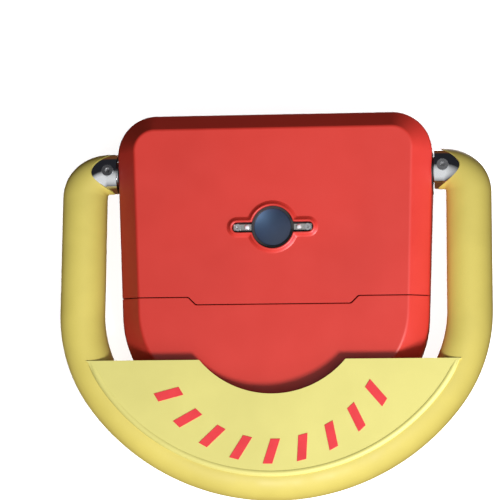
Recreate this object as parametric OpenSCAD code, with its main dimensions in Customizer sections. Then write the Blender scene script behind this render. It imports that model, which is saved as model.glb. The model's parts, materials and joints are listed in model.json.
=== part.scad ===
// Remote-controlled folding parking lock: a low two-part red housing on a steel base plate, and a
// yellow D-shaped barrier arm that a worm gearmotor swings up about a shaft across the housing.
// Millimetres. +Z is up, -Y is the arm's free end, the origin is on the ground below the middle.

/* [Arm] */
// Half the width over the two legs of the arm
arm_half_w = 230; // [228:1:234]
// Outer diameter of the foam sleeve on the arm
sleeve_d = 48; // [47:0.5:49]
// Outer diameter of the steel arm tube and of the elbows
tube_d = 42; // [41:0.5:42]
// Distance from the pivot to where the legs start to curve
leg_len = 152; // [148:1:154]
// Angle by which the lowered arm drops towards its free end
arm_drop = 2.8; // [2.6:0.1:2.9]
// Thickness of the panel that fills the bow
panel_t = 5.5; // [5:0.5:6]

/* [Housing] */
// Height of the top face at its rear edge
top_rear_z = 88; // [87:1:90]
// Fall of the top face for each millimetre towards the front
top_slope = 0.18; // [0.175:0.005:0.185]
// Horizontal width of the bevel round the top face
bevel_run = 20.5; // [19:0.5:21]
// Height of that bevel
bevel_drop = 20; // [19:0.5:21]
// Wall thickness of the two covers
wall = 3; // [2.5:0.5:3]
// Diameter of the sensor window in the top face
window_d = 39; // [36:0.5:42]

/* [Drive] */
// Width of the arm gear and its pinion
gear_w = 12; // [10:0.5:12]
// Width of the worm wheel
wheel_w = 8; // [7:0.5:8]
// Diameter of the motor
motor_d = 32; // [30:0.5:32]
// Turns of the buffer spring
spring_turns = 4; // [4:1:4]

/* [Fixing] */
// Diameter of the four anchor holes
anchor_d = 14; // [12:0.5:14]
// Distance between the anchor holes across the base
anchor_w = 210; // [206:1:214]
// Distance between the anchor holes from front to rear
anchor_l = 240; // [236:1:244]

/* [Hidden] */
$fn = 48;
base_t = 4;
pivot_y = 146.6;
pivot_z = 42;
tube_r = tube_d / 2;
sleeve_r = sleeve_d / 2;
shaft_r = 14;
run_gap = 0.05;
arm_x = arm_half_w - sleeve_r;
elbow_r = 26;
elbow_x = arm_x - elbow_r;
joint_y = -34;
// bow: two side arcs that run tangentially into one wide front arc
side_cx = 60;
side_r = arm_x - side_cx;
front_cy = -leg_len + 45;
side_angle = atan2(front_cy + leg_len, side_cx);
front_r = side_r + norm([side_cx, front_cy + leg_len]);
panel_edge_y = -206.8;
cut_r = 100;
cut_cy = -142.8;
crown_over = 1.5;
panel_top = sleeve_r + crown_over;
// housing outline: two rear corner circles and two large front ones with common tangents
rear_y = pivot_y + 56;
rear_c = [126, rear_y - 42];
rear_r = 42;
nose_c = [53, -6.4];
nose_r = 110;
nose_y = nose_c[1] - nose_r;
span = nose_c - rear_c;
tan_a = atan2(span[1], span[0]) + acos(-(nose_r - rear_r) / norm(span));
cover_z = 5.6;
seam_y = 6.6;
seam_gap = 0.6;
tongue_w = 82;
tongue_l = 8;
notch_r = 19;
window_y = 78.6;
anchor_cy = 43.6;
// drive: arm gear on the shaft, pinion and worm wheel on a layshaft in front, worm below the wheel
gear_m = 2;
gear_n = 28;
pinion_n = 14;
worm_m = 1.25;
wheel_n = 24;
lay_y = pivot_y - gear_m * (gear_n + pinion_n) / 2;
worm_pr = 6.5;
worm_lead = worm_m * PI;
worm_l = 17;
worm_z = pivot_z - worm_m * wheel_n / 2 - worm_pr;
helix = atan(worm_lead / (2 * PI * worm_pr));
gear_x = 80;
wheel_x = 64;
lay_r = 5;
motor_r = motor_d / 2;
motor_y = 18;
mshaft_r = 2.5;
plate_x = [49, 98];
board_z = 12;
board_t = 1.6;
dome_r = 90;
sleeve_end = 174;
arch_tip = 197;
lock_z = 34;

// ---- helpers ----

function top_z(y) = top_rear_z - top_slope * (rear_y - bevel_run - y);
function inv(a) = tan(a) - a * PI / 180;
// half angle of an involute tooth at radius r, thinned by the play
function half_tooth(n, m, r, play) = 90 / n - play / (m * n) * 180 / PI
    + (inv(20) - inv(acos(min(1, m * n / 2 * cos(20) / r)))) * 180 / PI;

module at_pivot() {
    translate([0, pivot_y, pivot_z])
        rotate([arm_drop, 0, 0])
            children();
}

module on_top(x, y) {
    translate([x, y, top_z(y)])
        rotate([atan(top_slope), 0, 0])
            children();
}

module both_sides() {
    children();
    mirror([1, 0, 0])
        children();
}

module rod_x(r, x0, x1) {
    translate([x0, 0, 0])
        rotate([0, 90, 0])
            cylinder(r = r, h = x1 - x0);
}

module rod_y(r, y0, y1) {
    translate([0, y1, 0])
        rotate([90, 0, 0])
            cylinder(r = r, h = y1 - y0);
}

module box(x0, x1, y0, y1, z0, z1) {
    translate([x0, y0, z0])
        cube([x1 - x0, y1 - y0, z1 - z0]);
}

module slot2d(l, w) {
    c = (l - w) / 2;
    polygon(concat(arc_points([c, 0], w / 2, -90, 90, 12), arc_points([-c, 0], w / 2, 90, 270, 12)));
}

// points of the outline moved inwards by d, clockwise from the rear
function arc_points(c, r, a0, a1, n) = [for (i = [0 : n]) let (a = a0 + (a1 - a0) * i / n)
    [c[0] + r * cos(a), c[1] + r * sin(a)]];
function right_points(d) = concat(
    arc_points(rear_c, rear_r - d, 90, tan_a, 10),
    arc_points(nose_c, nose_r - d, tan_a, -90, 14));
function outline_points(d) = let (p = right_points(d), n = len(p))
    concat(p, [for (i = [n - 1 : -1 : 0]) [-p[i][0], p[i][1]]]);

module outline2d(d) {
    polygon(outline_points(d));
}

// the whole housing as one convex body, its faces moved inwards by t
module housing_body(t, z0) {
    low = outline_points(t);
    high = outline_points(bevel_run + t * 0.42);
    n = len(low);
    points = concat(
        [for (p = low) [p[0], p[1], z0]],
        [for (p = low) [p[0], p[1], top_z(p[1]) - bevel_drop - t * 0.42]],
        [for (p = high) [p[0], p[1], top_z(p[1]) - t * 1.02]]
    );
    faces = concat(
        [[for (i = [n - 1 : -1 : 0]) i]],
        [for (k = [0, 1]) for (i = [0 : n - 1])
            [(k + 1) * n + (i + 1) % n, (k + 1) * n + i, k * n + i, k * n + (i + 1) % n]],
        [[for (i = [0 : n - 1]) 2 * n + i]]
    );
    polyhedron(points = points, faces = faces, convexity = 4);
}

// plan of the part of the housing in front of the seam, moved by g
module front_zone2d(g) {
    difference() {
        translate([-250, -300])
            square([500, 300 + seam_y - g]);
        polygon([
            [-tongue_w - tongue_l - g, seam_y + 12], [-tongue_w - tongue_l - g, seam_y - g],
            [-tongue_w - g, seam_y - tongue_l - g], [tongue_w + g, seam_y - tongue_l - g],
            [tongue_w + tongue_l + g, seam_y - g], [tongue_w + tongue_l + g, seam_y + 12]
        ]);
    }
}

// everything in front of the seam, which is square to the sloping top
module front_zone(g) {
    translate([0, seam_y, top_z(seam_y)])
        rotate([atan(top_slope), 0, 0])
            translate([0, -seam_y, -80])
                linear_extrude(120)
                    front_zone2d(g);
}

module gear2d(n, m, add, ded, play) {
    rp = m * n / 2;
    rb = rp * cos(20);
    ro = rp + add;
    rf = rp - ded;
    radii = [for (i = [0 : 3]) max(rb, rf) + (ro - max(rb, rf)) * i / 3];
    polygon([
        for (k = [0 : n - 1])
            let (c = 360 * k / n)
                for (p = concat(
                    [[rf, -half_tooth(n, m, rb, play) - 1]],
                    [for (i = [0 : 3]) [radii[i], -half_tooth(n, m, radii[i], play)]],
                    [for (i = [3 : -1 : 0]) [radii[i], half_tooth(n, m, radii[i], play)]],
                    [[rf, half_tooth(n, m, rb, play) + 1]]))
                    [p[0] * cos(c + p[1]), p[0] * sin(c + p[1])]
    ]);
}

module ring2d(r, bore) {
    difference() {
        circle(r = r);
        if (bore > 0)
            circle(r = bore);
    }
}

// one quarter bend in the arm plane, from the axle line to the leg
module elbow_bend(r, bore = 0) {
    translate([elbow_x, -elbow_r, 0])
        rotate_extrude(angle = 90)
            translate([elbow_r, 0])
                ring2d(r, bore);
}

// stretch of a full ring, as a round bar or a pipe, cut out by a wedge
module arc_bar(c, big_r, r, bore, wedge) {
    intersection() {
        translate([c[0], c[1], 0])
            rotate_extrude()
                translate([big_r, 0])
                    ring2d(r, bore);
        translate([0, 0, -40])
            linear_extrude(80)
                polygon(wedge);
    }
}

// the bow between the legs; its arcs meet on a line through both centres
module bow(r, bore = 0) {
    far = 5 * [side_cx, -leg_len - front_cy];
    side_c = [side_cx, -leg_len];
    front_c = [0, front_cy];
    both_sides()
        arc_bar(side_c, side_r, r, bore, [side_c, side_c + [400, 0], side_c + [400, 0] + far, side_c + far]);
    arc_bar(front_c, front_r, r, bore, [
        front_c, front_c + far, front_c + [far[0], -400],
        front_c + [-far[0], -400], front_c + [-far[0], far[1]]
    ]);
}

module leg(r, y0, bore = 0) {
    translate([arm_x, y0, 0])
        rotate([90, 0, 0])
            linear_extrude(leg_len + y0)
                ring2d(r, bore);
}

// plan of the panel, its curved edge d inside the middle of the tube
module panel2d(d) {
    half = concat(
        arc_points([side_cx, -leg_len], side_r - d, 0, -side_angle, 8),
        arc_points([0, front_cy], front_r - d, -side_angle - 3, -90, 18));
    n = len(half);
    difference() {
        intersection() {
            polygon(concat(half, [for (i = [n - 2 : -1 : 0]) [-half[i][0], half[i][1]]]));
            translate([-250, -400])
                square([500, 400 + panel_edge_y]);
        }
        translate([0, cut_cy])
            circle(r = cut_r);
    }
}

// ---- base plate and what is bolted to it ----

module base_plate() {
    color([0.42, 0.43, 0.44])
        difference() {
            linear_extrude(base_t)
                outline2d(0);
            for (sx = [-1, 1])
                for (sy = [-1, 1])
                    translate([sx * anchor_w / 2, anchor_cy + sy * anchor_l / 2, -1])
                        cylinder(d = anchor_d, h = base_t + 2);
            for (x = [-132, 132])
                for (s = [-1, 1])
                    translate([x, pivot_y + s * 32, -1])
                        cylinder(r = 4, h = base_t + 2);
            for (p = [[60, -88], [138, -4]])
                for (s = [-1, 1])
                    translate([s * p[0], p[1], -1]) {
                        cylinder(r = 2.5, h = base_t + 2);
                        cylinder(r = 5, h = 3);
                    }
        }
}

module base_gasket() {
    color([0.06, 0.06, 0.06])
        translate([0, 0, base_t])
            linear_extrude(1.5)
                difference() {
                    outline2d(0.5);
                    outline2d(5);
                }
}

module bearing_blocks() {
    color([0.5, 0.52, 0.54])
        both_sides()
            difference() {
                union() {
                    box(120, 144, pivot_y - 40, pivot_y + 40, base_t, 12);
                    box(122, 142, pivot_y - 24, pivot_y + 24, base_t, pivot_z);
                    translate([0, pivot_y, pivot_z])
                        rod_x(24, 122, 142);
                }
                translate([0, pivot_y, pivot_z])
                    rod_x(18, 110, 150);
                for (s = [-1, 1])
                    translate([132, pivot_y + s * 32, 0])
                        cylinder(r = 4, h = 20);
            }
}

module shaft_bushes() {
    color([0.72, 0.52, 0.26])
        both_sides()
            translate([0, pivot_y, pivot_z])
                difference() {
                    union() {
                        rod_x(18, 122, 143);
                        rod_x(20.5, 142, 144);
                    }
                    rod_x(shaft_r + run_gap, 120, 146);
                }
}

module bearing_bolts() {
    color([0.75, 0.76, 0.78])
        both_sides()
            for (s = [-1, 1])
                translate([132, pivot_y + s * 32, 0]) {
                    translate([0, 0, 12])
                        cylinder(r = 6.4, h = 5.5, $fn = 6);
                    translate([0, 0, 0.5])
                        cylinder(r = 4, h = 12);
                }
}

module side_glands() {
    color([0.09, 0.09, 0.1])
        both_sides()
            difference() {
                union() {
                    box(150, 161, pivot_y - 22, pivot_y + 22, base_t, 8);
                    box(156, 161, pivot_y - 21, pivot_y + 21, base_t, pivot_z);
                    box(160, 167.6, pivot_y - notch_r + 0.5, pivot_y + notch_r - 0.5, cover_z, pivot_z);
                    translate([0, pivot_y, pivot_z]) {
                        rod_x(21, 156, 161);
                        rod_x(notch_r - 0.5, 160, 167.6);
                    }
                }
                translate([0, pivot_y, pivot_z]) {
                    rod_x(shaft_r + 0.7, 150, 170);
                    rod_x(17, 161, 170);
                }
                for (s = [-1, 1])
                    translate([153, pivot_y + s * 15, 0])
                        cylinder(r = 2, h = 10);
            }
}

module shaft_seals() {
    color([0.05, 0.05, 0.05])
        both_sides()
            translate([0, pivot_y, pivot_z])
                difference() {
                    rod_x(17, 161, 168.6);
                    rod_x(shaft_r + run_gap, 150, 170);
                }
}

module lock_keeper() {
    color([0.62, 0.63, 0.64]) {
        box(33, 36, pivot_y + 27, pivot_y + 43, base_t, lock_z + 11);
        box(16, 36, pivot_y + 27, pivot_y + 43, lock_z + 8, lock_z + 11);
        difference() {
            box(33, 52, pivot_y + 27, pivot_y + 43, base_t, 7);
            translate([45, pivot_y + 35, 0])
                cylinder(r = 2.5, h = 10);
        }
    }
}

// ---- gearbox and motor ----

module gearbox_frame() {
    color([0.36, 0.37, 0.39])
        difference() {
            union() {
                box(44, 108, lay_y - 24, lay_y + 20, base_t, 7);
                for (x = plate_x)
                    box(x, x + 5, lay_y - 20, lay_y + 16, base_t, 60);
                box(49, 103, lay_y - 24, lay_y - 19, base_t, 44);
                box(54, 75, lay_y + 14, lay_y + 18, base_t, 29.5);
            }
            translate([0, lay_y, pivot_z])
                rod_x(lay_r + run_gap, 40, 110);
            translate([wheel_x, 0, worm_z]) {
                rod_y(mshaft_r + run_gap, lay_y, lay_y + 30);
                rod_y(6, lay_y - 30, lay_y - 10);
            }
            for (x = [51.5, 100.5])
                for (y = [-15, 11])
                    translate([x, lay_y + y, 48])
                        cylinder(r = 1.25, h = 20);
            for (y = [-14, 12])
                translate([106, lay_y + y, 0])
                    cylinder(r = 1.6, h = 10);
        }
}

module gearbox_cover() {
    color([0.16, 0.17, 0.18])
        difference() {
            box(49, 103, lay_y - 20, lay_y + 16, 60, 62.5);
            for (x = [51.5, 100.5])
                for (y = [-15, 11])
                    translate([x, lay_y + y, 50])
                        cylinder(r = 1.25, h = 20);
        }
}

module gearbox_screws() {
    color([0.8, 0.81, 0.82])
        for (x = [51.5, 100.5])
            for (y = [-15, 11])
                translate([x, lay_y + y, 0]) {
                    translate([0, 0, 52])
                        cylinder(r = 1.25, h = 11);
                    difference() {
                        translate([0, 0, 62.5])
                            cylinder(r = 2.4, h = 1.8);
                        translate([0, 0, 63.3])
                            cylinder(r = 1, h = 2, $fn = 6);
                    }
                }
}

module motor_can() {
    color([0.66, 0.67, 0.69])
        translate([wheel_x, 0, worm_z])
            difference() {
                union() {
                    rod_y(motor_r, motor_y, lay_y - 28);
                    rod_y(6, motor_y, lay_y - 20);
                }
                rod_y(motor_r - 1.5, motor_y - 1, lay_y - 30);
                rod_y(mshaft_r + run_gap, motor_y, lay_y);
            }
}

module motor_end_cap() {
    color([0.08, 0.08, 0.09])
        translate([wheel_x, 0, worm_z])
            difference() {
                union() {
                    rod_y(motor_r, motor_y - 5, motor_y);
                    rod_y(motor_r - 1.5, motor_y, motor_y + 2);
                    for (s = [-1, 1])
                        box(s * 9 - 1.5, s * 9 + 1.5, motor_y - 10, motor_y - 4, -0.4, 0.4);
                }
                rod_y(mshaft_r + run_gap, motor_y - 1, motor_y + 5);
            }
}

module motor_strap() {
    color([0.6, 0.61, 0.62])
        difference() {
            union() {
                translate([wheel_x, 0, worm_z])
                    rod_y(motor_r + 2, 40, 52);
                box(wheel_x - 18, wheel_x + 18, 40, 52, base_t, worm_z);
                box(wheel_x - 15, wheel_x + 30, 40, 52, base_t, 6);
            }
            translate([wheel_x, 0, worm_z])
                rod_y(motor_r, 30, 60);
            translate([wheel_x + 24, 46, 0])
                cylinder(r = 2, h = 10);
            box(wheel_x - 40, wheel_x + 40, 30, 60, -20, base_t);
        }
}

// ---- battery, board and wiring ----

module battery_tray() {
    color([0.1, 0.1, 0.11])
        difference() {
            box(-126, -52, -28, 102, base_t, 28);
            box(-124, -54, -26, 100, 6, 30);
            for (y = [10, 60])
                translate([-89, y, 0])
                    cylinder(r = 2.2, h = 10);
        }
}

module battery_cells() {
    color([0.12, 0.3, 0.26])
        for (x = [-106.3, -71.7])
            for (y = [-25, 38])
                translate([x, 0, 6 + 17]) {
                    rod_y(17, y, y + 58);
                    rod_y(5, y + 58, y + 60.5);
                }
}

module control_board() {
    color([0.08, 0.33, 0.17])
        difference() {
            box(-44, 44, -62, 44, board_z, board_z + board_t);
            for (x = [-39, 39])
                for (y = [-57, 39])
                    translate([x, y, 0])
                        cylinder(r = 1.6, h = 30);
        }
}

module board_standoffs() {
    color([0.78, 0.66, 0.34])
        for (x = [-39, 39])
            for (y = [-57, 39])
                translate([x, y, 0]) {
                    translate([0, 0, base_t])
                        cylinder(r = 3.4, h = board_z - base_t, $fn = 6);
                    translate([0, 0, board_z])
                        cylinder(r = 1.6, h = board_t + 0.2);
                    translate([0, 0, board_z + board_t])
                        cylinder(r = 3, h = 1.8);
                }
}

module board_relays() {
    color([0.12, 0.22, 0.42])
        for (y = [-36, -14])
            box(16, 35, y, y + 16, board_z + board_t, board_z + board_t + 15);
}

module board_controller() {
    color([0.05, 0.05, 0.06]) {
        box(-12, 2, -12, 2, board_z + board_t, board_z + board_t + 1.6);
        box(-36, -26, 10, 16, board_z + board_t, board_z + board_t + 2);
        box(-34, -24, -46, -34, board_z + board_t, board_z + board_t + 1.4);
    }
}

module board_capacitor() {
    color([0.14, 0.16, 0.3])
        translate([-30, -18, board_z + board_t])
            difference() {
                cylinder(r = 6.5, h = 18);
                translate([0, 0, 17.4])
                    box(-7, 7, -0.4, 0.4, 0, 2);
            }
}

module terminal_blocks() {
    color([0.16, 0.5, 0.26]) {
        difference() {
            box(-44, -35, -8, 8, board_z + board_t, board_z + board_t + 10);
            for (y = [-4, 4])
                translate([-46, y, board_z + board_t + 3.5])
                    rotate([0, 90, 0])
                        cylinder(r = 1.6, h = 5);
        }
        difference() {
            box(10, 26, 34, 43, board_z + board_t, board_z + board_t + 10);
            for (x = [14, 22])
                translate([x, 0, board_z + board_t + 3.5])
                    rod_y(1.6, 39, 45);
        }
    }
}

module buzzer() {
    color([0.04, 0.04, 0.05])
        translate([-18, 28, board_z + board_t])
            difference() {
                cylinder(r = 6, h = 9);
                translate([0, 0, 8])
                    cylinder(r = 1.4, h = 3);
            }
}

module antenna() {
    color([0.72, 0.5, 0.2])
        translate([0, -52, board_z + board_t]) {
            cylinder(r = 2, h = 2);
            cylinder(r = 0.6, h = 14);
            translate([-3, 0, 14])
                rotate([90, 0, 0])
                    rotate_extrude(angle = 90)
                        translate([3, 0])
                            circle(r = 0.6, $fn = 16);
            translate([0, 0, 17])
                rod_x(0.6, -30, -3);
        }
}

module hall_board() {
    color([0.1, 0.36, 0.2]) {
        box(64, 76.5, pivot_y - 8, pivot_y + 8, 15, 16.6);
        box(64, 67, pivot_y - 6, pivot_y + 6, base_t, 15);
        translate([75, pivot_y, 0])
            box(-1.5, 1.2, -2, 2, 16.6, 20.2);
    }
}

// round wire along straight runs, with ball corners
module wire(points, r) {
    for (i = [0 : len(points) - 2])
        let (d = points[i + 1] - points[i])
            translate(points[i])
                rotate([0, acos(d[2] / norm(d)), atan2(d[1], d[0])])
                    cylinder(r = r, h = norm(d), $fn = 24);
    for (i = [1 : len(points) - 2])
        translate(points[i])
            sphere(r = r, $fn = 24);
}

module battery_lead() {
    z = board_z + board_t + 3.5;
    color([0.6, 0.06, 0.05])
        for (y = [-4, 4])
            wire([[-52, y, z], [-42, y, z]], 1.4);
}

module motor_lead() {
    color([0.6, 0.06, 0.05])
        for (s = [-1, 1])
            let (x = wheel_x + s * 9, y = -17 - 11 * s)
                wire([[x, motor_y - 10, worm_z], [x, y, worm_z], [35, y, worm_z]], 1.3);
}

module hall_lead() {
    z = board_z + board_t + 3.5;
    color([0.06, 0.06, 0.06])
        wire([[64, pivot_y, 7], [38, pivot_y, 7], [38, 56, 7], [22, 56, 7], [22, 56, z], [22, 41, z]], 1.4);
}

// ---- front cover ----

module front_cover() {
    color([0.78, 0.16, 0.15])
        difference() {
            union() {
                intersection() {
                    difference() {
                        housing_body(0, cover_z);
                        housing_body(wall, cover_z - 1);
                    }
                    front_zone(seam_gap / 2);
                }
                // ledge that runs under the edge of the rear cover
                intersection() {
                    difference() {
                        housing_body(wall + 0.3, cover_z);
                        housing_body(wall + 2.3, cover_z - 1);
                    }
                    difference() {
                        front_zone(-6);
                        front_zone(6);
                    }
                }
                intersection() {
                    difference() {
                        housing_body(1.5, cover_z);
                        housing_body(wall + 1, cover_z - 1);
                    }
                    difference() {
                        front_zone(1.5);
                        front_zone(5);
                    }
                }
                for (p = [[60, -88], [138, -4]])
                    for (s = [-1, 1])
                        translate([s * p[0], p[1], cover_z])
                            cylinder(r = 5, h = top_z(p[1]) - cover_z - 2);
            }
            for (p = [[60, -88], [138, -4]])
                for (s = [-1, 1])
                    translate([s * p[0], p[1], 0])
                        cylinder(r = 2, h = 20);
        }
}

module front_cover_screws() {
    color([0.8, 0.81, 0.82])
        for (p = [[60, -88], [138, -4]])
            for (s = [-1, 1])
                translate([s * p[0], p[1], 0]) {
                    difference() {
                        translate([0, 0, 0.3])
                            cylinder(r = 4.2, h = 1.7);
                        cylinder(r = 1.4, h = 1.2, $fn = 6);
                    }
                    translate([0, 0, 2])
                        cylinder(r = 2, h = 14);
                }
}

// ---- rear cover and what lifts off with it ----

module opening2d(g) {
    circle(r = 22.5 + g);
    slot2d(86 + 2 * g, 11 + 2 * g);
}

module rear_cover() {
    color([0.78, 0.16, 0.15])
        difference() {
            union() {
                difference() {
                    housing_body(0, cover_z);
                    housing_body(wall, cover_z - 1);
                    front_zone(-seam_gap / 2);
                }
                on_top(0, window_y)
                    translate([0, 0, -1])
                        linear_extrude(2.8)
                            opening2d(5.5);
                on_top(0, window_y)
                    translate([0, 0, -8])
                        linear_extrude(9)
                            opening2d(3);
            }
            on_top(0, window_y)
                translate([0, 0, -10])
                    linear_extrude(20)
                        opening2d(0);
            translate([0, pivot_y, pivot_z])
                for (s = [-1, 1])
                    translate([s * 165, 0, 0])
                        rod_x(notch_r, -12, 12);
            for (s = [-1, 1])
                translate([s * 165, 0, 0])
                    box(-12, 12, pivot_y - notch_r, pivot_y + notch_r, 0, pivot_z);
            translate([0, 0, lock_z])
                rod_y(9.5, rear_y - 20, rear_y + 5);
        }
}

module window_backing() {
    color([0.04, 0.04, 0.05])
        on_top(0, window_y)
            difference() {
                union() {
                    translate([0, 0, -8])
                        linear_extrude(2)
                            opening2d(0);
                    translate([0, 0, -10])
                        linear_extrude(2)
                            opening2d(3);
                    translate([0, 0, -10])
                        difference() {
                            cylinder(r = 22.5, h = 7.5);
                            translate([0, 0, 2])
                                cylinder(r = window_d / 2 + run_gap, h = 8);
                        }
                }
                translate([0, 0, -11])
                    cylinder(r = 17, h = 6);
                for (s = [-1, 1])
                    translate([s * 37, 0, -11])
                        cylinder(r = 1.6, h = 10);
            }
}

module sensor_window() {
    rim_r = window_d / 2;
    dome_c = [0, -dome_r - 0.4];
    color([0.12, 0.17, 0.26])
        on_top(0, window_y)
            rotate_extrude()
                polygon(concat(
                    arc_points(dome_c, dome_r, 90, acos(rim_r / dome_r), 8),
                    [[rim_r, -6], [rim_r - 2, -6]],
                    arc_points(dome_c, dome_r - 2, acos((rim_r - 2) / (dome_r - 2)), 90, 8)));
}

module window_screws() {
    color([0.82, 0.83, 0.85])
        on_top(0, window_y)
            for (s = [-1, 1])
                translate([s * 37, 0, 0])
                    difference() {
                        union() {
                            translate([0, 0, -9.5])
                                cylinder(r = 1.6, h = 4);
                            translate([0, 0, -6])
                                cylinder(r = 3.6, h = 3);
                        }
                        translate([0, 0, -4.4])
                            cylinder(r = 1.5, h = 3, $fn = 6);
                    }
}

module indicator_lights() {
    color([0.9, 0.92, 0.9])
        on_top(0, window_y)
            for (s = [-1, 1])
                translate([s * 27.5, 0, -6]) {
                    cylinder(r = 2.8, h = 2.6);
                    intersection() {
                        translate([0, 0, 2.6])
                            sphere(r = 2.8);
                        translate([0, 0, 2.6])
                            cylinder(r = 3, h = 3);
                    }
                }
}

module sensor_module() {
    color([0.1, 0.36, 0.2])
        on_top(0, window_y)
            translate([0, 0, -13])
                difference() {
                    cylinder(r = 21, h = 1.6);
                    for (s = [-1, 1])
                        translate([s * 18, 0, -1])
                            cylinder(r = 1.5, h = 5);
                }
    color([0.1, 0.36, 0.2])
        on_top(0, window_y) {
            for (s = [-1, 1])
                translate([0, s * 18.8, -12])
                    cylinder(r = 1.8, h = 2);
            for (s = [-1, 1])
                translate([s * 7, 0, -11.4])
                    cylinder(r = 5, h = 5);
            translate([0, 0, -11.4])
                box(-12, 12, -7, 7, 0, 1);
        }
}

module lock_barrel() {
    color([0.7, 0.71, 0.73])
        translate([0, 0, lock_z])
            difference() {
                union() {
                    rod_y(9.5, rear_y - 18, rear_y);
                    rod_y(12, rear_y, rear_y + 1.2);
                    translate([0, 0, 14.5]) {
                        rod_y(2.5, rear_y, rear_y + 1.2);
                        rod_y(1.6, rear_y, rear_y + 2.6);
                    }
                }
                rod_y(6 + run_gap, rear_y - 20, rear_y + 5);
            }
}

module lock_nut() {
    color([0.62, 0.63, 0.65])
        translate([0, 0, lock_z])
            difference() {
                translate([0, rear_y - wall, 0])
                    rotate([90, 30, 0])
                        cylinder(r = 13, h = 4, $fn = 6);
                rod_y(9.5, rear_y - 20, rear_y + 5);
            }
}

module lock_plug() {
    color([0.76, 0.77, 0.79])
        translate([0, 0, lock_z])
            difference() {
                union() {
                    rod_y(6, rear_y - 20.8, rear_y + 0.8);
                    box(-3, 3, rear_y - 24.5, rear_y - 20, -3, 3);
                }
                box(-0.9, 0.9, rear_y - 6, rear_y + 3, -3.6, 3.6);
            }
}

module lock_cam() {
    color([0.66, 0.67, 0.69])
        translate([0, 0, lock_z])
            difference() {
                union() {
                    rod_y(7, rear_y - 23, rear_y - 20.8);
                    box(-5, 5, rear_y - 23, rear_y - 20.8, -24, 0);
                }
                box(-3, 3, rear_y - 25, rear_y - 20, -3, 3);
            }
}

module lock_flap() {
    color([0.07, 0.07, 0.08])
        translate([0, 0, lock_z])
            difference() {
                union() {
                    rod_y(9, rear_y + 1.5, rear_y + 2.6);
                    box(-6, 6, rear_y + 1.5, rear_y + 2.6, 0, 14.5);
                    translate([0, 0, 14.5])
                        rod_y(6, rear_y + 1.5, rear_y + 2.6);
                }
                translate([0, 0, 14.5])
                    rod_y(1.6 + run_gap, rear_y, rear_y + 4);
            }
}

// ---- arm ----

module pivot_shaft() {
    color([0.62, 0.63, 0.65])
        at_pivot()
            difference() {
                rod_x(shaft_r, -188, 188);
                for (s = [-1, 1])
                    translate([s * 179, 0, 6])
                        cylinder(r = 4, h = 20);
                translate([116, 0, -30])
                    cylinder(r = 2.5, h = 60);
            }
}

module right_elbow_body() {
    difference() {
        union() {
            rod_x(tube_r, 170, elbow_x);
            elbow_bend(tube_r);
            translate([arm_x, joint_y, 0])
                rotate([-90, 0, 0])
                    cylinder(r = tube_r, h = -joint_y - elbow_r);
            translate([arm_x, joint_y - 26, 0])
                rotate([-90, 0, 0])
                    cylinder(r = 18, h = 30);
        }
        rod_x(shaft_r, 160, 188);
        translate([179, 0, 0])
            cylinder(r = 4, h = 40);
        translate([179, 0, 16])
            cylinder(r = 6.2, h = 40);
    }
}

module left_elbow() {
    color([0.8, 0.82, 0.84])
        at_pivot()
            mirror([1, 0, 0])
                right_elbow_body();
}

module right_elbow() {
    color([0.8, 0.82, 0.84])
        at_pivot()
            right_elbow_body();
}

module elbow_screws() {
    color([0.84, 0.85, 0.87])
        at_pivot()
            both_sides()
                translate([179, 0, 0])
                    difference() {
                        union() {
                            translate([0, 0, 6])
                                cylinder(r = 4, h = 12);
                            translate([0, 0, 16])
                                cylinder(r = 6.2, h = 6.4);
                        }
                        translate([0, 0, 19])
                            cylinder(r = 2.9, h = 5, $fn = 6);
                    }
}

module arm_tube() {
    color([0.6, 0.62, 0.64])
        at_pivot() {
            both_sides()
                leg(tube_r, joint_y, 18);
            bow(tube_r, 18);
        }
}

module arm_sleeve() {
    color([0.84, 0.78, 0.38])
        at_pivot() {
            both_sides() {
                difference() {
                    union() {
                        elbow_bend(sleeve_r, tube_r);
                        translate([sleeve_end, 0, 0])
                            rotate([90, 0, 90])
                                linear_extrude(elbow_x - sleeve_end)
                                    ring2d(sleeve_r, tube_r);
                    }
                    translate([0, 0, -40])
                        linear_extrude(80)
                            polygon([for (y = [-24 : 3 : 24]) [arch_tip - 0.05 * y * y, y]]);
                }
                leg(sleeve_r, -elbow_r, tube_r);
            }
            bow(sleeve_r, tube_r);
        }
}

module arm_panel() {
    low = panel_top - panel_t;
    color([0.93, 0.89, 0.58])
        at_pivot() {
            translate([0, 0, low])
                linear_extrude(panel_t)
                    panel2d(sqrt(sleeve_r * sleeve_r - low * low) + 0.3);
            translate([0, 0, sleeve_r + 0.02])
                linear_extrude(crown_over - 0.02)
                    panel2d(0);
        }
}

module panel_marks() {
    color([0.84, 0.2, 0.2])
        at_pivot()
            for (k = [0 : 8])
                translate([0, -175, panel_top])
                    rotate([0, 0, -58 + 14.5 * k])
                        translate([0, -128, 0])
                            linear_extrude(0.4)
                                polygon([[-9, -13], [1, -13], [9, 13], [-1, 13]]);
}

module spring_collar() {
    color([0.45, 0.46, 0.48])
        at_pivot()
            difference() {
                rod_x(21, 111.5, 119.5);
                rod_x(shaft_r, 100, 130);
                translate([116, 0, -30])
                    cylinder(r = 2.5, h = 60);
            }
}

module cross_pin() {
    color([0.7, 0.71, 0.72])
        at_pivot()
            translate([116, 0, -20.5])
                cylinder(r = 2.5, h = 41);
}

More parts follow.
